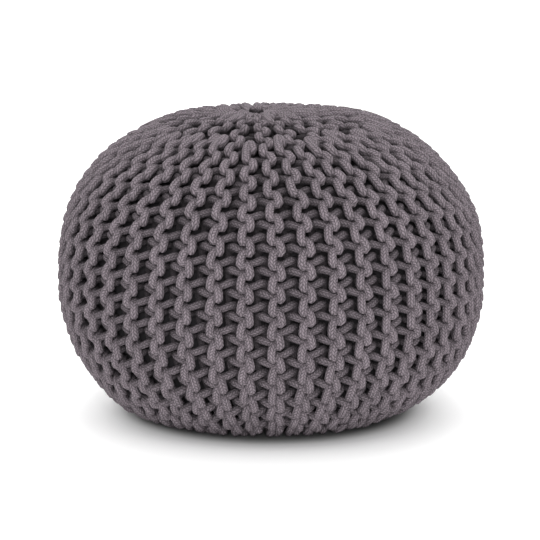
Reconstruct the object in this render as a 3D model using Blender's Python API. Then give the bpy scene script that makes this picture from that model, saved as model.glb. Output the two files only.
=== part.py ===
"""A round, squat pouf hand-knitted in thick cotton cord, as one filled solid, in metres with +Z up.

The knitting is gathered in the middle of the crown, and its rows run from there over the side to the foot,
where they stand out as upright ribs. Every second rib is a short row that stops before the gather. The
floor presses the underside flat. The front, with the gather nearest to it, faces -Y.
"""
import math

import bmesh
import bpy
import numpy as np

# The form: a rounded body of revolution, fuller than a ball, cut flat where it stands.
RADIUS = 0.250
CROWN_RISE = 0.1923
CROWN_FULLNESS = 2.45
BASE_DROP = 0.1899
BASE_FULLNESS = 2.49
FOOT_DROP = 0.1691

# The gather lies off the middle, a little sunk, and draws the rows with it as far as GATHER_REACH.
GATHER_X = -0.017
GATHER_Y = -0.035
GATHER_REACH = 0.400
GATHER_SINK = 0.004
SINK_REACH = 0.030

# Where the filling swells or gives way: the turn from the front, the distance along the surface from the
# top of the axis, how far each way it reaches, and how far out it moves.
SWELLS = (
    {"turn_deg": -90, "arc": 0.110, "reach_deg": 50, "reach_arc": 0.045, "out": 0.0030},
    {"turn_deg": 90, "arc": 0.110, "reach_deg": 50, "reach_arc": 0.040, "out": 0.0030},
    {"turn_deg": 90, "arc": 0.235, "reach_deg": 55, "reach_arc": 0.050, "out": -0.0040},
    {"turn_deg": -90, "arc": 0.370, "reach_deg": 50, "reach_arc": 0.050, "out": 0.0020},
    {"turn_deg": -80, "arc": 0.540, "reach_deg": 50, "reach_arc": 0.040, "out": 0.0065},
)

# The ribs
RIBS = 46
RIB_DEPTH = 0.0080
RIB_ROUNDNESS = 3.0
FRONT_RIB_TURN = math.radians(1.2)
RIB_UNEVENNESS = math.radians(4.8)
SHORT_ROW_START = 0.145
SHORT_ROW_TAPER = 0.030
GATHERED_RIB_REACH = 0.060

# The mesh: points round each rib, and rings from the gather to the foot.
POINTS_PER_RIB = 4
RINGS = 26
CROWN_RINGS = 10
CROWN_REACH = 0.200

# The surface of the cord
CORD_COLOUR = (0.118, 0.102, 0.110, 1.0)
CORD_ROUGHNESS = 0.95


def clear_scene():
    """Empties the scene of everything it starts with."""
    for thing in list(bpy.data.objects):
        bpy.data.objects.remove(thing, do_unlink=True)


def smooth_step(low, high, value):
    """0 below low and 1 above high, with a soft passage between them."""
    share = min(max((value - low) / (high - low), 0.0), 1.0)
    return share * share * (3.0 - 2.0 * share)


class Profile:
    """The outline of the pouf from the top of its axis down to the foot, measured along the surface."""

    def __init__(self):
        angle = np.linspace(math.pi / 2, -math.pi / 2, 4001)
        above = angle > 0
        rise = np.where(above, CROWN_RISE, BASE_DROP)
        power = 2.0 / np.where(above, CROWN_FULLNESS, BASE_FULLNESS)
        radius = RADIUS * np.abs(np.cos(angle)) ** power
        height = FOOT_DROP + rise * np.sign(angle) * np.abs(np.sin(angle)) ** power
        standing = height >= 0.0
        self.radius = radius[standing]
        self.height = height[standing]
        steps = np.hypot(np.diff(self.radius), np.diff(self.height))
        self.arc = np.concatenate([[0.0], np.cumsum(steps)])
        self.length = float(self.arc[-1])

    def point(self, arc):
        """(radius, height) at this distance along the surface."""
        radius = float(np.interp(arc, self.arc, self.radius))
        return radius, float(np.interp(arc, self.arc, self.height))

    def outward(self, arc):
        """The outward normal as (radial, upward) parts."""
        reach = 0.004
        r0, z0 = self.point(max(arc - reach, 0.0))
        r1, z1 = self.point(min(arc + reach, self.length))
        length = math.hypot(r1 - r0, z1 - z0)
        return (z0 - z1) / length, (r1 - r0) / length


def ring_arcs(length):
    """Distances of the rings from the gather, closer together on the crown where the ribs run in."""
    crown = [CROWN_REACH * (k + 0.5) / CROWN_RINGS for k in range(CROWN_RINGS)]
    side = RINGS - CROWN_RINGS
    start = crown[-1]
    return crown + [start + (length - start) * (k + 1) / side for k in range(side)]


def rib_turn(share):
    """The turn about the axis, from the front, at this share of the way round, uneven as in knitting."""
    turn = 2.0 * math.pi * share
    return turn + FRONT_RIB_TURN + RIB_UNEVENNESS * (math.cos(turn) - 1.0)


def rib_inset(rib, arc):
    """How far the surface lies below the rib crests, for a place counted in ribs from the front."""
    low = abs(math.sin(math.pi * rib)) ** RIB_ROUNDNESS
    long_low = abs(math.sin(math.pi * rib / 2.0)) ** RIB_ROUNDNESS
    both = smooth_step(SHORT_ROW_START - SHORT_ROW_TAPER, SHORT_ROW_START, arc)
    fade = smooth_step(0.0, GATHERED_RIB_REACH, arc)
    return RIB_DEPTH * fade * (both * low + (1.0 - both) * long_low)


def gathered(arc, turn):
    """(arc, turn) moved towards the gather, which draws the knitting over the crown."""
    near = 0.5 + 0.5 * math.cos(math.pi * min(arc / GATHER_REACH, 1.0))
    across = arc * math.sin(turn) + GATHER_X * near * near
    along = -arc * math.cos(turn) + GATHER_Y * near
    return math.hypot(across, along), math.atan2(across, -along)


def swell(arc, turn):
    """How far the filling pushes the cover out at this place on the form."""
    out = 0.0
    for place in SWELLS:
        away = math.remainder(turn - math.radians(place["turn_deg"]), 2.0 * math.pi)
        across = away / math.radians(place["reach_deg"])
        along = (arc - place["arc"]) / place["reach_arc"]
        out += place["out"] * math.exp(-across * across - along * along)
    return out


def cover_point(profile, rib, arc):
    """The place on the pouf's surface for this rib count and this distance from the gather."""
    moved, turn = gathered(arc, rib_turn(rib / RIBS))
    radius, height = profile.point(moved)
    out_radial, out_up = profile.outward(moved)
    inset = rib_inset(rib, arc) - swell(moved, turn)
    inset += GATHER_SINK * math.exp(-((arc / SINK_REACH) ** 2))
    radius -= inset * out_radial
    height -= inset * out_up
    return radius * math.sin(turn), -radius * math.cos(turn), max(height, 0.0)


def centre_on_axis(shape):
    """Slides the shape sideways until its box stands centred on the Z axis."""
    for axis in (0, 1):
        low = min(vertex.co[axis] for vertex in shape.verts)
        high = max(vertex.co[axis] for vertex in shape.verts)
        for vertex in shape.verts:
            vertex.co[axis] -= (low + high) / 2.0


def knitted_cover(collection):
    """The filled cover, from a ball whose rings and meridians become the rows and ribs of the knitting."""
    profile = Profile()
    arcs = ring_arcs(profile.length)
    around = RIBS * POINTS_PER_RIB
    mesh = bpy.data.meshes.new("knitted_cover")
    shape = bmesh.new()
    bmesh.ops.create_uvsphere(shape, u_segments=around, v_segments=RINGS + 1, radius=1.0)
    foot_ring = []
    foot_middle = None
    for vertex in shape.verts:
        x, y, z = vertex.co
        ring = round((math.pi / 2 - math.asin(max(-1.0, min(1.0, z)))) * (RINGS + 1) / math.pi)
        if ring == RINGS + 1:
            foot_middle = vertex
            continue
        if ring == 0:
            vertex.co = cover_point(profile, 0.0, 0.0)
            continue
        rib = round(math.atan2(x, -y) * around / (2.0 * math.pi)) / POINTS_PER_RIB
        vertex.co = cover_point(profile, rib, arcs[ring - 1])
        if ring == RINGS:
            vertex.co.z = 0.0
            foot_ring.append(vertex)
    centre_on_axis(shape)
    # The underside becomes one flat face.
    bmesh.ops.delete(shape, geom=[foot_middle], context="VERTS")
    foot_edges = {edge for vertex in foot_ring for edge in vertex.link_edges if edge.is_boundary}
    bmesh.ops.contextual_create(shape, geom=list(foot_edges))
    bmesh.ops.recalc_face_normals(shape, faces=shape.faces)
    shape.to_mesh(mesh)
    shape.free()
    mesh.shade_smooth()
    mesh.set_sharp_from_angle(angle=math.radians(60))
    cover = bpy.data.objects.new("knitted_cover", mesh)
    collection.objects.link(cover)
    return cover


def cord_material():
    """Matte taupe-grey cotton."""
    material = bpy.data.materials.new("cotton_cord")
    material.use_nodes = True
    surface = material.node_tree.nodes["Principled BSDF"]
    surface.inputs["Base Color"].default_value = CORD_COLOUR
    surface.inputs["Roughness"].default_value = CORD_ROUGHNESS
    surface.inputs["Metallic"].default_value = 0.0
    return material


def main():
    clear_scene()
    collection = bpy.data.collections.new("knitted_pouf")
    bpy.context.scene.collection.children.link(collection)
    cover = knitted_cover(collection)
    cover.data.materials.append(cord_material())


main()
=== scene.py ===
"""A round, squat pouf hand-knitted in thick grey cotton cord, seen from the front and a little above.

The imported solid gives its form. Here the cover is knitted over that form: one cord, about 9 mm thick, in
garter stitch. Its rows run from the gather on the crown over the side to the middle of the underside.
"""

import bpy
import numpy as np
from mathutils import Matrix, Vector


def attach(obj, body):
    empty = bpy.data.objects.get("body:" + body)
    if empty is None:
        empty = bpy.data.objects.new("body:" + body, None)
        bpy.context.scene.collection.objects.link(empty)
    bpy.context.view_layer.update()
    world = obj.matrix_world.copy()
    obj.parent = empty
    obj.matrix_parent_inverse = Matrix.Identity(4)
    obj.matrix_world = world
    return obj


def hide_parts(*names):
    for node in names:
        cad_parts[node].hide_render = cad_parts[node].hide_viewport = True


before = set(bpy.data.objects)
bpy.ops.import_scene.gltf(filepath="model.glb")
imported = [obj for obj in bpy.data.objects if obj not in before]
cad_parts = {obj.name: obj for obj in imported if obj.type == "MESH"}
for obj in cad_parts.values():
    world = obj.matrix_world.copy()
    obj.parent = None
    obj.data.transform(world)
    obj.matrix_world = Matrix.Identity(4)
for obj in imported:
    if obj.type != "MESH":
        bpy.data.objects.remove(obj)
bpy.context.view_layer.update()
bpy.ops.object.select_all(action="DESELECT")

# The filling
# A cotton bag packed with loose filling, round and fuller than a ball, pressed flat where it stands. Its
# colour is taken near black. It gives the knitting its form, and shows only as the dark between the loops.
# Turns are from the front.
RADIUS = 0.250
CROWN_RISE = 0.1923
CROWN_FULLNESS = 2.45
BASE_DROP = 0.1899
BASE_FULLNESS = 2.49
FOOT_DROP = 0.1691
GATHER_X = -0.017
GATHER_Y = -0.035
GATHER_REACH = 0.400
GATHER_SINK = 0.004
SINK_REACH = 0.030
RIBS = 46
FRONT_RIB_TURN = np.radians(1.2)
RIB_UNEVENNESS = np.radians(4.8)
CENTRE_SHIFT = 0.00095
NORMAL_REACH = 0.010
OUTLINE_POINTS = 4001
SWELLS = (
    {"turn_deg": -90, "arc": 0.110, "reach_deg": 50, "reach_arc": 0.045, "out": 0.0030},
    {"turn_deg": 90, "arc": 0.110, "reach_deg": 50, "reach_arc": 0.040, "out": 0.0030},
    {"turn_deg": 90, "arc": 0.235, "reach_deg": 55, "reach_arc": 0.050, "out": -0.0040},
    {"turn_deg": -90, "arc": 0.370, "reach_deg": 50, "reach_arc": 0.050, "out": 0.0020},
    {"turn_deg": -80, "arc": 0.540, "reach_deg": 50, "reach_arc": 0.040, "out": 0.0065},
)

outline_angle = np.linspace(np.pi / 2, -np.pi / 2, OUTLINE_POINTS)
outline_rise = np.where(outline_angle > 0, CROWN_RISE, BASE_DROP)
outline_power = 2.0 / np.where(outline_angle > 0, CROWN_FULLNESS, BASE_FULLNESS)
outline_radius = RADIUS * np.abs(np.cos(outline_angle)) ** outline_power
outline_height = np.sign(outline_angle) * np.abs(np.sin(outline_angle)) ** outline_power
outline_height = FOOT_DROP + outline_rise * outline_height
standing = outline_height >= 0.0
outline_radius = np.append(outline_radius[standing], 0.0)
outline_height = np.append(outline_height[standing], 0.0)
outline_steps = np.hypot(np.diff(outline_radius), np.diff(outline_height))
outline_arc = np.concatenate([[0.0], np.cumsum(outline_steps)])
WHOLE_ARC = outline_arc[-1]


def gathered(arc, rib):
    """Distance from the axis top, and turn, of places counted from the gather, which lies off the axis."""
    share_turn = 2.0 * np.pi * rib / RIBS
    turn = share_turn + FRONT_RIB_TURN + RIB_UNEVENNESS * (np.cos(share_turn) - 1.0)
    near = 0.5 + 0.5 * np.cos(np.pi * np.minimum(arc / GATHER_REACH, 1.0))
    across = arc * np.sin(turn) + GATHER_X * near * near
    along = -arc * np.cos(turn) + GATHER_Y * near
    return np.hypot(across, along), np.arctan2(across, -along)


def on_form(arc, rib, below):
    """Places this far from the gather, counted in ribs from the front, this deep below the rib crests."""
    arc_moved, turn_moved = gathered(arc, rib)
    out = -below - GATHER_SINK * np.exp(-((arc / SINK_REACH) ** 2))
    for place in SWELLS:
        away = turn_moved - np.radians(place["turn_deg"])
        away = np.arctan2(np.sin(away), np.cos(away)) / np.radians(place["reach_deg"])
        away_along = (arc_moved - place["arc"]) / place["reach_arc"]
        out = out + place["out"] * np.exp(-away * away - away_along * away_along)
    before = np.maximum(arc_moved - NORMAL_REACH, 0.0)
    after = np.minimum(arc_moved + NORMAL_REACH, WHOLE_ARC)
    run_out = np.interp(after, outline_arc, outline_radius) - np.interp(before, outline_arc, outline_radius)
    run_up = np.interp(after, outline_arc, outline_height) - np.interp(before, outline_arc, outline_height)
    run = np.hypot(run_out, run_up)
    radius = np.interp(arc_moved, outline_arc, outline_radius) - out * run_up / run
    height = np.interp(arc_moved, outline_arc, outline_height) + out * run_out / run
    place_x = radius * np.sin(turn_moved) + CENTRE_SHIFT
    return np.stack([place_x, -radius * np.cos(turn_moved), height], axis=-1)


FILLING_DEPTH = 0.0235
FILLING_RINGS = 64
bpy.ops.mesh.primitive_uv_sphere_add(segments=2 * RIBS, ring_count=FILLING_RINGS, radius=1.0)
filling = bpy.context.object
filling.name = "filling"
filling.data.name = "filling"
places = np.zeros(len(filling.data.vertices) * 3)
filling.data.vertices.foreach_get("co", places)
places = places.reshape(-1, 3)
down = np.arccos(np.clip(places[:, 2], -1.0, 1.0)) / np.pi * WHOLE_ARC
round_turn = np.arctan2(places[:, 0], -places[:, 1]) * RIBS / (2.0 * np.pi)
moved = on_form(down, round_turn, np.full_like(down, FILLING_DEPTH))
filling.data.vertices.foreach_set("co", moved.ravel())
filling.data.update()
bpy.ops.object.shade_smooth()

lining_cotton = bpy.data.materials.new("lining_cotton")
lining_cotton.use_nodes = True
lining_surface = lining_cotton.node_tree.nodes["Principled BSDF"]
lining_surface.inputs["Base Color"].default_value = (0.012, 0.010, 0.012, 1.0)
lining_surface.inputs["Roughness"].default_value = 0.95
filling.data.materials.clear()
filling.data.materials.append(lining_cotton)
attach(filling, "root")
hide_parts("knitted_cover")

# The knitted cover
# It is hand-knitted in one thick braided cotton cord. A garter stitch loop goes from the front ridge to the
# back ridge and returns, and each ridge that shows is two rows of loops, bowed left and bowed right. Every
# second ridge is a short row that turns back before the gather, as the rounded form needs.

# The cord, a little fuller on the crown, where it is pulled least
CORD_RADIUS = 0.0047
CROWN_FULLER = 0.11
FULLER_UNTIL = 0.17
FULLER_FROM = 0.34

# The length of a stitch, shortest where the form is widest, counted from just above there
STITCH = 0.0310
TIGHT_STITCH = 0.0254
TIGHT_ARC = 0.362
TIGHT_REACH_UP = 0.105
TIGHT_REACH_DOWN = 0.078
COUNTED_FROM = 0.3112
COUNT_STEPS = 1500
STEADY_FROM_STEP = 300
END_EASE = 0.12

# The loops: how far they bow to the side, stand apart from front to back, tuck in, tilt and lean
STITCH_SHAPED_FOR = 0.0154
WIDEST_BOW = 0.0051
NARROWEST_BOW = 0.0022
BOW_SHARE = 0.38
HALF_THICKNESS = 0.0079
TUCK = 0.0083
LOOP_TILT = 0.0022
LOOP_LEAN = 0.0020
LOOP_LENGTH = 0.16

# The legs, which join the loops: how they rise inwards, sink, slope and thin, in the low part otherwise
LEG_RISE = 0.0125
LOW_LEG_RISE = 0.0042
LOW_LEG_FULLER = 0.12
LOW_FROM = 0.40
LOW_UNTIL = 0.54
UPPER_LEG_SINK = 0.0050
LOWER_LEG_SINK = 0.0004
LOWER_LEG_SLOPE = 0.16
SLOPE_MIDDLE = 0.55
LOWER_LEG_THINNING = 0.14
UPPER_LEG_THINNING = 0.50
LEG_LENGTH = 0.075

# Where the ridges end, from the shortest to those that reach the gather
ROW_ENDS = (0.145, 0.0589, 0.0302, 0.0159)
ROW_END_BLEND = 0.025
ROW_END_UNEVENNESS = 0.006
MOST_UNEVEN = 1.5

# Close to the gather, distances and widths are taken no smaller than these.
NEAREST_ARC = 0.002
NEAREST_SPACING_ARC = 0.004
NARROWEST_WIDTH = 0.0004

# One stitch, from the middle of its front loop to the middle of its back loop: how far along the row, across
# it in lengths that are fixed, that follow the bow and that follow the row spacing, and how far out, in mm.
MM_PER_METRE = 1000.0
METRES_PER_MM = 0.001
LOOP_MM = HALF_THICKNESS * MM_PER_METRE
TUCK_MM = TUCK * MM_PER_METRE
LOW_MM = LOOP_MM - TUCK_MM
HALF_STITCH_MM = 14.45
NECK = 4.6
HEAD = 8.0
half_stitch = (
    {"along": -HALF_STITCH_MM, "fixed": 0.0, "bow": -1.0, "spacing": 0.0, "out": LOOP_MM},
    {"along": -HALF_STITCH_MM + 4.3, "fixed": 0.1, "bow": -1.0, "spacing": 0.0, "out": LOOP_MM - 0.2},
    {"along": -NECK - 2.2, "fixed": 1.3, "bow": -1.0, "spacing": 0.0, "out": LOOP_MM - 1.6},
    {"along": -NECK - 0.4, "fixed": 3.6, "bow": -1.0, "spacing": 0.0, "out": LOOP_MM - 4.4},
    {"along": -NECK + 0.1, "fixed": 2.0, "bow": 0.0, "spacing": 0.0, "out": LOOP_MM - 0.8 * TUCK_MM},
    {"along": -NECK - 0.2, "fixed": 1.0, "bow": 1.0, "spacing": 0.0, "out": LOW_MM},
    {"along": -0.5 * (NECK + HEAD), "fixed": 0.6, "bow": 0.0, "spacing": 0.5, "out": 0.0},
    {"along": -HEAD + 0.8, "fixed": 0.8, "bow": -1.0, "spacing": 1.0, "out": -LOW_MM},
    {"along": -HEAD, "fixed": -1.0, "bow": 0.0, "spacing": 1.0, "out": -LOOP_MM + 0.75 * TUCK_MM},
    {"along": -HEAD + 0.2, "fixed": 1.6, "bow": 0.0, "spacing": 1.0, "out": -LOOP_MM + 4.4},
    {"along": -HEAD + 1.8, "fixed": -1.0, "bow": 1.0, "spacing": 1.0, "out": -LOOP_MM + 1.4},
    {"along": -0.42 * HEAD, "fixed": -0.1, "bow": 1.0, "spacing": 1.0, "out": -LOOP_MM + 0.1},
    {"along": 0.0, "fixed": 0.0, "bow": 1.0, "spacing": 1.0, "out": -LOOP_MM},
)
# The bow and spacing columns are shares, not lengths, so they keep their values.
first_half = np.array([list(point.values()) for point in half_stitch]) * METRES_PER_MM
first_half[:, 2:4] *= MM_PER_METRE
second_half = first_half[::-1][1:-1].copy()
second_half[:, 0] *= -1.0
stitch_points = np.concatenate([first_half, second_half])
STITCH_POINTS = len(stitch_points)
SPLINE_SOFTNESS = 0.70


def stitch_curve(phase):
    """The stitch's columns at each phase, which counts stitches from the middle of a front loop."""
    at = (phase % 1.0) * STITCH_POINTS
    first = np.floor(at).astype(int)
    f = (at - first)[:, None]
    corners = []
    for step in (-1, 0, 1, 2):
        index = (first + step) % STITCH_POINTS
        turns = (first + step - index) // STITCH_POINTS
        corner = stitch_points[index].copy()
        corner[:, 0] += turns * 2.0 * HALF_STITCH_MM * METRES_PER_MM
        corners.append(corner)
    p0, p1, p2, p3 = corners
    soft = (1 - f) ** 3 * p0 + (3 * f**3 - 6 * f**2 + 4) * p1
    soft = (soft + (-3 * f**3 + 3 * f**2 + 3 * f + 1) * p2 + f**3 * p3) / 6.0
    tight = 2 * p1 + (-p0 + p2) * f + (2 * p0 - 5 * p1 + 4 * p2 - p3) * f**2
    tight = 0.5 * (tight + (-p0 + 3 * p1 - 3 * p2 + p3) * f**3)
    curve = SPLINE_SOFTNESS * soft + (1.0 - SPLINE_SOFTNESS) * tight
    curve[:, 0] += HALF_STITCH_MM * METRES_PER_MM
    curve[:, 0] *= STITCH / (2.0 * HALF_STITCH_MM * METRES_PER_MM)
    curve[:, 0] += np.floor(phase) * STITCH
    return curve


# Where each ridge ends: the gather holds every eighth, and the others stop short of it by turns, unevenly.
knitter = np.random.default_rng(46)
row_ends = []
for ridge in range(RIBS):
    if ridge % 2:
        end = ROW_ENDS[0]
    elif ridge % 4:
        end = ROW_ENDS[1]
    elif ridge % 8:
        end = ROW_ENDS[2]
    else:
        end = ROW_ENDS[3]
    shift = knitter.uniform(-1.0, 1.0) * ROW_END_UNEVENNESS * min(end / ROW_ENDS[1], MOST_UNEVEN)
    row_ends.append(end + shift)


def smooth_step(low, high, value):
    """0 below low and 1 above high, with a soft passage between them."""
    share = np.clip((value - low) / (high - low), 0.0, 1.0)
    return share * share * (3.0 - 2.0 * share)


# The filling spreads the rows at the widest place, which draws each stitch shorter there. The stitches are
# counted upwards along each ridge, and its last few stretch or crowd a little to end where the ridge does.
count_arcs = np.linspace(0.0, WHOLE_ARC, COUNT_STEPS)
stitch_counts = []
for ridge in range(RIBS):
    same_ridge = np.full_like(count_arcs, float(ridge))
    crest = on_form(count_arcs, same_ridge, 0.0)
    steps = np.append(0.0, np.linalg.norm(np.diff(crest, axis=0), axis=1))
    from_top, _ = gathered(count_arcs, same_ridge)
    away = from_top - TIGHT_ARC
    reach = np.where(away < 0, TIGHT_REACH_UP, TIGHT_REACH_DOWN)
    stitch_length = STITCH - (STITCH - TIGHT_STITCH) * np.exp(-((away / reach) ** 2))
    counts = -np.cumsum(steps / stitch_length)
    counts -= np.interp(COUNTED_FROM, from_top[STEADY_FROM_STEP:], counts[STEADY_FROM_STEP:])
    end = row_ends[ridge]
    for stop, side in ((end, 1.0), (WHOLE_ARC - end, -1.0)):
        at_stop = np.interp(stop, count_arcs, counts)
        near_stop = 1.0 - smooth_step(0.0, END_EASE, (count_arcs - stop) * side)
        counts = counts + (np.round(at_stop) - at_stop) * near_stop
    stitch_counts.append(counts)


def arc_at(ridge, count):
    """The distance from the gather at this stitch count of a ridge."""
    return np.interp(-count, -stitch_counts[ridge], count_arcs)


def count_at(ridge, arc):
    """The stitch count of a ridge at this distance from the gather."""
    return np.interp(arc, count_arcs, stitch_counts[ridge])


def spacing_in_ribs(ridge, side, arc):
    """Half the distance to the neighbouring ridge, counted in ribs, as short rows between them end."""
    distance = np.ones_like(arc)
    step = 1
    highest = row_ends[(ridge + side) % RIBS]
    while highest > row_ends[ridge]:
        further = step + 1
        while row_ends[(ridge + side * further) % RIBS] >= highest:
            further += 1
        distance = distance + (further - step) * smooth_step(0.0, ROW_END_BLEND, highest - arc)
        step = further
        highest = row_ends[(ridge + side * step) % RIBS]
    return distance / 2.0


# Hand knitting wanders: waves of five centimetres and more, the same for all cords that lie together, and
# none close to the gather.
WANDER = 0.0006
WAVES = 40
MOST_WAVES_ROUND = 22
MOST_WAVES_PER_METRE = 20.0
CALM_UNTIL = 0.05
CALM_WIDTH = 0.002


def wander_field():
    """Waves over the pouf, a whole number of them round it."""
    round_count = knitter.integers(-MOST_WAVES_ROUND, MOST_WAVES_ROUND + 1, WAVES)
    down_count = knitter.uniform(-MOST_WAVES_PER_METRE, MOST_WAVES_PER_METRE, WAVES)
    start = knitter.uniform(0.0, 2.0 * np.pi, WAVES)
    return round_count, down_count, start


def wander(field, arc, rib):
    """How far the knitting strays at these places, as a share of WANDER."""
    round_count, down_count, start = field
    total = np.zeros_like(arc)
    for around, down, begin in zip(round_count, down_count, start):
        total += np.sin(2.0 * np.pi * (around * rib / RIBS + down * arc) + begin)
    return total * np.sqrt(2.0 / WAVES)


wander_along = wander_field()
wander_across = wander_field()
wander_out = wander_field()


def ridge_width(ridge, arc):
    """How far apart the ridges lie at these distances from the gather, from the half rib about a crest."""
    left = on_form(arc, np.full_like(arc, ridge - 0.25), 0.0)
    right = on_form(arc, np.full_like(arc, ridge + 0.25), 0.0)
    return np.linalg.norm(right - left, axis=-1) * 2.0


def knitted_row(ridge, phase, heads):
    """One row of stitches beside a ridge: along, across, out and thickness. heads means bowed right."""
    curve = stitch_curve(phase)
    side = -1 if heads else 1
    arc_here = np.maximum(arc_at(ridge, phase), NEAREST_SPACING_ARC)
    spacing = spacing_in_ribs(ridge, side, arc_here) * ridge_width(ridge, arc_here)
    bow = np.clip(BOW_SHARE * spacing, NARROWEST_BOW, WIDEST_BOW)
    narrow = np.minimum(spacing / STITCH_SHAPED_FOR, 1.0)
    across = curve[:, 1] * narrow + curve[:, 2] * bow + curve[:, 3] * spacing
    out = curve[:, 4]
    if heads:
        across = across - spacing
        out = -out
    from_ridge = np.abs(across)
    low_part = smooth_step(LOW_FROM, LOW_UNTIL, arc_here)
    leg_rise = LEG_RISE + (LOW_LEG_RISE - LEG_RISE) * low_part
    rise = leg_rise * (HALF_THICKNESS - out) / (2.0 * HALF_THICKNESS)
    # The legs lie a quarter and three quarters of the way through a stitch.
    first_leg = np.exp(-(((phase % 1.0) - 0.25) / LEG_LENGTH) ** 2)
    second_leg = np.exp(-(((phase % 1.0) - 0.75) / LEG_LENGTH) ** 2)
    lower_leg, upper_leg = (first_leg, second_leg) if heads else (second_leg, first_leg)
    swing = np.sin(2.0 * np.pi * phase)
    from_loop = phase % 1.0 - 0.5 if heads else (phase + 0.5) % 1.0 - 0.5
    out = out + LOOP_TILT * (swing if heads else -swing)
    out = out - UPPER_LEG_SINK * upper_leg - LOWER_LEG_SINK * lower_leg
    across = across + LOOP_LEAN * swing * np.exp(-((from_loop / LOOP_LENGTH) ** 2))
    rise = rise + LOWER_LEG_SLOPE * (from_ridge - SLOPE_MIDDLE * spacing) * lower_leg
    thin = 1.0 - LOWER_LEG_THINNING * (1.0 - low_part) * lower_leg - UPPER_LEG_THINNING * upper_leg
    thin = thin + LOW_LEG_FULLER * low_part * lower_leg
    return np.stack([curve[:, 0] + rise, across, out, thin], axis=-1)


# Each ridge is one length of cord: up its right-hand row, over at its end, and down its left-hand row.
# A stitch is drawn closely where its loop shows and loosely behind.
TURN_STEPS = 13
TURN_RISE = 0.013
TURN_RISE_AFTER = 1.9
half_loop = np.array([0.0, 0.05, 0.09, 0.12, 0.145, 0.17, 0.195, 0.225, 0.27, 0.34, 0.42, 0.5])
loop_phases = np.concatenate([half_loop, 1.0 - half_loop[::-1][1:-1]])
ridge_paths = []
for ridge in range(RIBS):
    top_stitches = np.round(count_at(ridge, row_ends[ridge]))
    bottom_stitches = np.round(count_at(ridge, WHOLE_ARC - row_ends[ridge]))
    loops = np.arange(bottom_stitches, top_stitches)
    phase_down = (loops[:, None] + loop_phases[None, :]).ravel()
    phase_down = np.append(phase_down, top_stitches)
    row_up = knitted_row(ridge, phase_down + 0.5, True)
    row_down = knitted_row(ridge, phase_down, False)
    start = row_up[-1]
    end = row_down[-1]
    share = np.linspace(0.0, 1.0, TURN_STEPS)[1:-1, None]
    lift = np.array([TURN_RISE, 0.0, 0.0, 0.0])
    turn = (1 - share) ** 3 * start + 3 * (1 - share) ** 2 * share * (start + lift)
    turn = turn + 3 * (1 - share) * share**2 * (end + lift * TURN_RISE_AFTER) + share**3 * end
    ridge_paths.append(np.concatenate([row_up, turn, row_down[::-1]]))

OUT_STEP = 0.001
longest = max(len(path) for path in ridge_paths)
cord_lines = np.zeros((RIBS, longest, 3))
cord_radii = np.full((RIBS, longest), CORD_RADIUS)
cord_depths = np.zeros((RIBS, longest))
cord_arcs = np.zeros((RIBS, longest))
outward = np.zeros((RIBS, longest, 3))
for ridge, path in enumerate(ridge_paths):
    count = len(path)
    arc = np.maximum(arc_at(ridge, path[:, 0] / STITCH), NEAREST_ARC)
    width = ridge_width(ridge, arc)
    rib = ridge + path[:, 1] / np.maximum(width, NARROWEST_WIDTH)
    calm = smooth_step(0.0, CALM_UNTIL, arc)
    arc_wandered = arc + WANDER * calm * wander(wander_along, arc, rib)
    strayed = WANDER * calm * wander(wander_across, arc, rib)
    rib_wandered = rib + strayed / np.maximum(width, CALM_WIDTH)
    below = CORD_RADIUS + HALF_THICKNESS - path[:, 2]
    below = below + 0.5 * WANDER * calm * (wander(wander_out, arc, rib) + 1.0)
    line = on_form(arc_wandered, rib_wandered, below)
    outward[ridge, :count] = (on_form(arc_wandered, rib_wandered, below - OUT_STEP) - line) / OUT_STEP
    cord_depths[ridge, :count] = below
    cord_arcs[ridge, :count] = arc
    line[:, 2] = np.maximum(line[:, 2], CORD_RADIUS)
    cord_lines[ridge, :count] = line
    fuller = 1.0 + CROWN_FULLER * (1.0 - smooth_step(FULLER_UNTIL, FULLER_FROM, arc))
    cord_radii[ridge, :count] = CORD_RADIUS * path[:, 3] * fuller
    spare = np.arange(1, longest - count + 1)[:, None]
    cord_lines[ridge, count:] = line[-1] + spare * (line[-1] - line[-2])


def carried_round(lines):
    """Two directions across each line, carried along it without twisting."""
    tangents = np.gradient(lines, axis=1)
    tangents /= np.linalg.norm(tangents, axis=2, keepdims=True)
    sideways = np.zeros_like(lines)
    first_side = np.cross(tangents[:, 0], [0.0, 0.0, 1.0])
    sideways[:, 0] = first_side / np.linalg.norm(first_side, axis=1, keepdims=True)
    for step in range(1, lines.shape[1]):
        carried = sideways[:, step - 1]
        tangent = tangents[:, step]
        carried = carried - np.sum(carried * tangent, axis=1, keepdims=True) * tangent
        sideways[:, step] = carried / np.linalg.norm(carried, axis=1, keepdims=True)
    return sideways, np.cross(tangents, sideways)


# Little light reaches the cord deep between the loops, least of all near the gather, where the rows crowd,
# so the cord's colour is taken darker there. Each point of its surface holds how open it lies.
SHADED_DEPTH = 0.0124
CROWDED_SHADED_DEPTH = 0.0038
CROWDED_UNTIL = 0.46
CORD_SIDES = 12

# In the bake layout each strand fills whole rows: this much of a row's length and height, from this edge up.
ROW_LENGTH_USED = 0.90
ROW_HEIGHT_USED = 0.92
ROW_EDGE = 0.04

# The closed ends of a strand lie in the narrow strip that is left beside its rows.
FIRST_END_U = (0.985, 0.985, 0.990)
LAST_END_U = (0.995, 0.995, 0.992)
side_angles = np.arange(CORD_SIDES) * 2.0 * np.pi / CORD_SIDES


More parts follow.
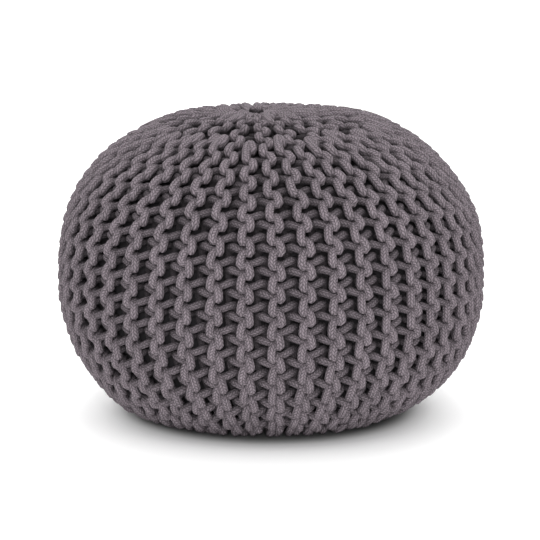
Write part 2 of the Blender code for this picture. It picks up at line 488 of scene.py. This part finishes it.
def cord_piece(name, strands, bake_rows):
    """Joined tubes of cord, closed at their ends, with one UV map in metres and one laid out in rows."""
    points = []
    openness = []
    quads = []
    ends = []
    cord_uv = []
    row_uv = []
    end_uv = []
    base = 0
    rows_used = 0
    longest_strand = max(strand["travelled"][-1] for strand in strands)
    row_metres = longest_strand * len(strands) / (bake_rows - len(strands))
    for strand in strands:
        line = strand["line"]
        radius = strand["radius"]
        travelled = strand["travelled"]
        count = len(line)
        ring = np.cos(side_angles)[None, :, None] * strand["sideways"][:, None, :]
        ring = ring + np.sin(side_angles)[None, :, None] * strand["upward"][:, None, :]
        tube = line[:, None, :] + radius[:, None, None] * ring
        points += [tube.reshape(-1, 3), line[:1], line[-1:]]
        towards_front = np.sum(ring * strand["outward"][:, None, :], axis=2)
        depth = strand["depth"][:, None] - radius[:, None] * towards_front
        reach = smooth_step(0.0, CROWDED_UNTIL, strand["arc"])
        reach = CROWDED_SHADED_DEPTH + (SHADED_DEPTH - CROWDED_SHADED_DEPTH) * reach
        open_here = np.exp(-((depth / reach[:, None]) ** 2))
        openness += [open_here.ravel(), open_here[0, :1], open_here[-1, :1]]
        step = np.arange(count - 1)[:, None]
        around = np.arange(CORD_SIDES)[None, :]
        after = (around + 1) % CORD_SIDES
        corners = [step * CORD_SIDES + around, step * CORD_SIDES + after]
        corners += [(step + 1) * CORD_SIDES + after, (step + 1) * CORD_SIDES + around]
        corners = [np.broadcast_to(corner, (count - 1, CORD_SIDES)) for corner in corners]
        quads.append(base + np.stack(corners, axis=-1).reshape(-1, 4))
        u = np.stack([travelled[:-1], travelled[:-1], travelled[1:], travelled[1:]], axis=-1)
        v = np.stack([around[0], around[0] + 1, around[0] + 1, around[0]], axis=-1) / CORD_SIDES
        u = np.repeat(u[:, None, :], CORD_SIDES, axis=1)
        v = np.repeat(v[None, :, :], count - 1, axis=0)
        cord_uv.append(np.stack([u, v], axis=-1).reshape(-1, 2))
        row = np.floor(travelled[:-1] / row_metres)
        row_u = ROW_LENGTH_USED * (u - (row * row_metres)[:, None, None]) / row_metres
        row_v = (rows_used + row[:, None, None] + ROW_EDGE + ROW_HEIGHT_USED * v) / bake_rows
        row_uv.append(np.stack([row_u, row_v], axis=-1).reshape(-1, 2))
        last_ring = base + (count - 1) * CORD_SIDES
        middle = base + count * CORD_SIDES
        for k in range(CORD_SIDES):
            next_k = (k + 1) % CORD_SIDES
            ends.append((base + next_k, base + k, middle))
            ends.append((last_ring + k, last_ring + next_k, middle + 1))
            v_low = (rows_used + ROW_EDGE + ROW_HEIGHT_USED * k / CORD_SIDES) / bake_rows
            v_high = (rows_used + ROW_EDGE + ROW_HEIGHT_USED * (k + 1) / CORD_SIDES) / bake_rows
            end_uv += list(zip(FIRST_END_U, (v_high, v_low, v_low)))
            end_uv += list(zip(LAST_END_U, (v_low, v_high, v_low)))
        base += count * CORD_SIDES + 2
        rows_used += int(row[-1]) + 1
    points = np.concatenate(points)
    quads = np.concatenate(quads)
    corners = np.concatenate([quads.ravel(), np.array(ends).ravel()])
    starts = np.concatenate([np.arange(len(quads)) * 4, len(quads) * 4 + np.arange(len(ends)) * 3])
    mesh = bpy.data.meshes.new(name)
    mesh.vertices.add(len(points))
    mesh.vertices.foreach_set("co", points.ravel())
    mesh.loops.add(len(corners))
    mesh.loops.foreach_set("vertex_index", corners.astype(np.int32))
    mesh.polygons.add(len(starts))
    mesh.polygons.foreach_set("loop_start", starts.astype(np.int32))
    mesh.update(calc_edges=True)
    mesh.polygons.foreach_set("use_smooth", np.ones(len(starts), dtype=bool))
    end_zero = np.zeros((len(ends) * 3, 2))
    for map_name, values in (("cord", cord_uv + [end_zero]), ("OFBake", row_uv + [np.array(end_uv)])):
        uv_map = mesh.uv_layers.new(name=map_name)
        uv_map.data.foreach_set("uv", np.concatenate(values).ravel())
    open_part = mesh.attributes.new("openness", "FLOAT", "POINT")
    open_part.data.foreach_set("value", np.concatenate(openness).astype(np.float32))
    mesh.validate()
    piece = bpy.data.objects.new(name, mesh)
    bpy.context.scene.collection.objects.link(piece)
    return piece


class Wire:
    """A shader socket that shader maths can be written with."""

    def __init__(self, tree, socket):
        self.tree = tree
        self.socket = socket

    def maths(self, operation, *others):
        values = dict(enumerate((self, *others)))
        return make(self.tree, "ShaderNodeMath", {"operation": operation}, values)

    def __add__(self, other):
        return self.maths("ADD", other)

    def __sub__(self, other):
        return self.maths("SUBTRACT", other)

    def __rsub__(self, other):
        return make(self.tree, "ShaderNodeMath", {"operation": "SUBTRACT"}, {0: other, 1: self})

    def __mul__(self, other):
        return self.maths("MULTIPLY", other)


def make(tree, kind, settings, inputs, output=0):
    """A node of this kind with these settings and these values or links in its sockets."""
    node = tree.nodes.new(kind)
    for name, value in settings.items():
        setattr(node, name, value)
    for name, value in inputs.items():
        socket = node.inputs[name]
        if isinstance(value, Wire):
            tree.links.new(value.socket, socket)
        else:
            socket.default_value = value
    return Wire(tree, node.outputs[output])


# Matte taupe-grey cotton. The braid is columns of slanting strands, leaning left and right by turns, that
# meet in arrow-heads, and its colour is painted darker at the edges of each strand and column: painted shade
# in the grooves.
# The shade comes from the braid's painted groove shade, a fine mottle and faint patches in these shares.
CORD_COLOUR = (0.159, 0.135, 0.150)
BRAID_COLUMNS = 8
STRAND_PITCH = 0.0031
STRAND_LEAN = 0.8
HEATHER_SCALE = 480.0
PATCH_SCALE = 30.0
STRAND_SHADE = 0.65
HEATHER_SHADE = 0.9
PATCH_SHADE = 0.3
SHADE_SHIFT = 0.31
DARKEST = 0.10
LIGHTEST = 1.60
HEATHER_RELIEF = 0.6
RELIEF_HEIGHT = 0.0010

cord_cotton = bpy.data.materials.new("cotton_cord")
cord_cotton.use_nodes = True
tree = cord_cotton.node_tree
surface = tree.nodes["Principled BSDF"]
surface.inputs["Roughness"].default_value = 0.9
surface.inputs["Specular IOR Level"].default_value = 0.2

cord_place = make(tree, "ShaderNodeUVMap", {"uv_map": "cord"}, {})
along_cord = make(tree, "ShaderNodeSeparateXYZ", {}, {"Vector": cord_place}, "X")
round_cord = make(tree, "ShaderNodeSeparateXYZ", {}, {"Vector": cord_place}, "Y")
column = round_cord * BRAID_COLUMNS
column_side = column.maths("FRACT") - 0.5
leaning = (column * 0.5).maths("FRACT")
leans_right = leaning.maths("GREATER_THAN", 0.5)
slant = column_side * (leans_right * 2.0 - 1.0) * STRAND_LEAN
strand_step = along_cord * (1.0 / STRAND_PITCH) + slant + leans_right * 0.5
strand_side = strand_step.maths("FRACT") * 2.0 - 1.0
# Painted shade: each strand and column is lighter in its middle and darker at its edges, where the braid's
# grooves lie. The same strands also give the braid its relief.
strand_swell = 1.0 - strand_side * strand_side
column_swell = 1.0 - column_side * column_side * 4.0 * column_side * column_side * 4.0
strand = strand_swell * column_swell

object_place = make(tree, "ShaderNodeTexCoord", {}, {}, "Object")
heather_inputs = {"Vector": object_place, "Scale": HEATHER_SCALE, "Detail": 3.0}
heather = make(tree, "ShaderNodeTexNoise", {}, heather_inputs)
patch_inputs = {"Vector": object_place, "Scale": PATCH_SCALE, "Detail": 2.0}
patches = make(tree, "ShaderNodeTexNoise", {}, patch_inputs)
openness = make(tree, "ShaderNodeAttribute", {"attribute_name": "openness"}, {}, "Fac")
shade = strand * STRAND_SHADE + heather * HEATHER_SHADE + patches * PATCH_SHADE - SHADE_SHIFT
# Painted shade: the colour is darkened where the cord lies deep between the loops and little light reaches
# it.
shade = shade * openness
dark_cord = tuple(DARKEST * part for part in CORD_COLOUR) + (1.0,)
light_cord = tuple(LIGHTEST * part for part in CORD_COLOUR) + (1.0,)

# Sockets 6 and 7 of a mix node are its two colours, and output 2 is the colour mixed from them.
mix_settings = {"data_type": "RGBA", "clamp_factor": True}
cord_tint = make(tree, "ShaderNodeMix", mix_settings, {0: shade, 6: dark_cord, 7: light_cord}, 2)
tree.links.new(cord_tint.socket, surface.inputs["Base Color"])
relief = strand + heather * HEATHER_RELIEF
bump_inputs = {"Strength": 0.9, "Distance": RELIEF_HEIGHT, "Height": relief}
cord_bump = make(tree, "ShaderNodeBump", {}, bump_inputs)
tree.links.new(cord_bump.socket, surface.inputs["Normal"])

# The cover goes round in eight joined pieces of neighbouring ridges.
RIDGES_PER_PIECE = 6
BAKE_ROWS = 30
sideways, upward = carried_round(cord_lines)
travelled = np.zeros((RIBS, longest))
travelled[:, 1:] = np.cumsum(np.linalg.norm(np.diff(cord_lines, axis=1), axis=2), axis=1)
piece_number = 0
for first in range(0, RIBS, RIDGES_PER_PIECE):
    piece_number += 1
    strands = []
    for ridge in range(first, min(first + RIDGES_PER_PIECE, RIBS)):
        count = len(ridge_paths[ridge])
        strands.append({
            "line": cord_lines[ridge, :count],
            "radius": cord_radii[ridge, :count],
            "depth": cord_depths[ridge, :count],
            "arc": cord_arcs[ridge, :count],
            "outward": outward[ridge, :count],
            "sideways": sideways[ridge, :count],
            "upward": upward[ridge, :count],
            "travelled": travelled[ridge, :count],
        })
    knitting = cord_piece(f"knitting_{piece_number}", strands, BAKE_ROWS)
    knitting.data.materials.append(cord_cotton)
    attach(knitting, "root")
    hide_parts("knitted_cover")

# The knot
# The end of the cord, drawn through the last loops and tied off in the gather. It lies in the hollow there
# and stands a little proud.
KNOT_SCALE = 0.0019
KNOT_HEIGHT = 0.0024
KNOT_CORD_RADIUS = 0.0036
KNOT_LIFT = 0.0015
KNOT_TURN = np.radians(20.0)
KNOT_STEPS = 61
KNOT_BAKE_ROWS = 4
knot_share = np.linspace(0.0, 2.0 * np.pi, KNOT_STEPS)
knot_across = np.sin(knot_share) + 2.0 * np.sin(2.0 * knot_share)
knot_along = np.cos(knot_share) - 2.0 * np.cos(2.0 * knot_share)
knot_middle = on_form(np.array([NEAREST_ARC]), np.array([0.0]), np.array([0.0]))[0]
knot_line = np.zeros((1, len(knot_share), 3))
knot_line[0, :, 0] = KNOT_SCALE * (knot_across * np.cos(KNOT_TURN) - knot_along * np.sin(KNOT_TURN))
knot_line[0, :, 1] = KNOT_SCALE * (knot_across * np.sin(KNOT_TURN) + knot_along * np.cos(KNOT_TURN))
knot_line[0, :, 2] = -KNOT_HEIGHT * np.sin(3.0 * knot_share) + KNOT_LIFT
knot_line[0] += knot_middle
knot_sideways, knot_upward = carried_round(knot_line)
knot_steps = np.linalg.norm(np.diff(knot_line[0], axis=0), axis=1)
knot_strand = {
    "line": knot_line[0],
    "radius": np.full(len(knot_share), KNOT_CORD_RADIUS),
    "depth": knot_middle[2] + KNOT_LIFT + KNOT_HEIGHT + KNOT_CORD_RADIUS - knot_line[0, :, 2],
    "arc": np.zeros(len(knot_share)),
    "outward": np.tile([0.0, 0.0, 1.0], (len(knot_share), 1)),
    "sideways": knot_sideways[0],
    "upward": knot_upward[0],
    "travelled": np.append(0.0, np.cumsum(knot_steps)),
}
knot = cord_piece("knot", [knot_strand], KNOT_BAKE_ROWS)
knot.data.materials.append(cord_cotton)
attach(knot, "root")
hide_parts("knitted_cover")

# The studio
# A white floor and a lit white backdrop, a soft light overhead, and a second one low in front of the pouf.
# The floor is a white sheet with a painted shadow and painted light: its colour is darker close round the
# foot, a painted shadow, and it glows a little only away from the foot, a painted light, so that the shadow
# is small and dark.
SHADOW_FROM = 0.143
SHADOW_UNTIL = 0.178
SHADOW_WHITE = 0.14
FLOOR_WHITE = 0.75
GLOW_FROM = 0.155
GLOW_UNTIL = 0.210
FLOOR_GLOW = 0.33
bpy.ops.mesh.primitive_plane_add(size=60.0, location=(0.0, 0.0, 0.0))
floor = bpy.context.object
floor.name = "floor"
floor_white = bpy.data.materials.new("floor_white")
floor_white.use_nodes = True
floor_surface = floor_white.node_tree.nodes["Principled BSDF"]
floor_surface.inputs["Roughness"].default_value = 0.8
floor_surface.inputs["Emission Strength"].default_value = 1.0
floor_tree = floor_white.node_tree
floor_place = make(floor_tree, "ShaderNodeTexCoord", {}, {}, "Object")
from_middle = make(floor_tree, "ShaderNodeVectorMath", {"operation": "LENGTH"}, {0: floor_place}, "Value")
# Painted shadow in the base colour close round the foot, and painted light in the glow away from it.
floor_ranges = (
    ("Base Color", SHADOW_FROM, SHADOW_UNTIL, SHADOW_WHITE, FLOOR_WHITE),
    ("Emission Color", GLOW_FROM, GLOW_UNTIL, 0.0, FLOOR_GLOW),
)
for socket_name, start, stop, inner, outer in floor_ranges:
    steps = {"Value": from_middle, "From Min": start, "From Max": stop, "To Min": inner, "To Max": outer}
    grey = make(floor_tree, "ShaderNodeMapRange", {"interpolation_type": "SMOOTHSTEP"}, steps)
    floor_tree.links.new(grey.socket, floor_surface.inputs[socket_name])
floor.data.materials.append(floor_white)

bpy.ops.mesh.primitive_plane_add(size=12.0, location=(0.0, 6.0, 6.0), rotation=(np.pi / 2, 0.0, 0.0))
backdrop = bpy.context.object
backdrop.name = "backdrop"
bpy.ops.object.transform_apply(location=True, rotation=True, scale=True)
backdrop_white = bpy.data.materials.new("backdrop_white")
backdrop_white.use_nodes = True
backdrop_surface = backdrop_white.node_tree.nodes["Principled BSDF"]
backdrop_surface.inputs["Base Color"].default_value = (0.9, 0.9, 0.9, 1.0)
backdrop_surface.inputs["Emission Color"].default_value = (1.0, 1.0, 1.0, 1.0)
backdrop_surface.inputs["Emission Strength"].default_value = 1.0
backdrop.data.materials.append(backdrop_white)

world = bpy.data.worlds.new("studio_white")
bpy.context.scene.world = world
world.use_nodes = True
world.node_tree.nodes["Background"].inputs["Color"].default_value = (1.0, 1.0, 1.0, 1.0)
world.node_tree.nodes["Background"].inputs["Strength"].default_value = 0.35

bpy.ops.object.light_add(type="SUN", location=(0.0, -0.5, 2.5))
top_light = bpy.context.object
top_light.data.angle = np.radians(38.0)
top_light.data.energy = 1.5
top_light.rotation_euler = Vector((0.0, 0.17, -0.98)).to_track_quat("-Z", "Y").to_euler()

bpy.ops.object.light_add(type="SUN", location=(0.0, -2.5, 1.2))
front_light = bpy.context.object
front_light.data.angle = np.radians(30.0)
front_light.data.energy = 2.5
front_light.rotation_euler = Vector((0.0, 0.95, -0.31)).to_track_quat("-Z", "Y").to_euler()

# The camera
CAMERA_DISTANCE = 2.4
CAMERA_ELEVATION = np.radians(10.0)
LENS_MM = 135.6
AIM = Vector((-0.0010, 0.0, 0.1666))
bpy.ops.object.camera_add()
camera = bpy.context.object
camera.data.lens = LENS_MM
camera.data.sensor_width = 36.0
camera_offset = Vector((0.0, -np.cos(CAMERA_ELEVATION), np.sin(CAMERA_ELEVATION)))
camera.location = AIM + CAMERA_DISTANCE * camera_offset
camera.rotation_euler = (AIM - camera.location).to_track_quat("-Z", "Y").to_euler()
bpy.context.scene.camera = camera
bpy.context.scene.view_settings.view_transform = "Standard"
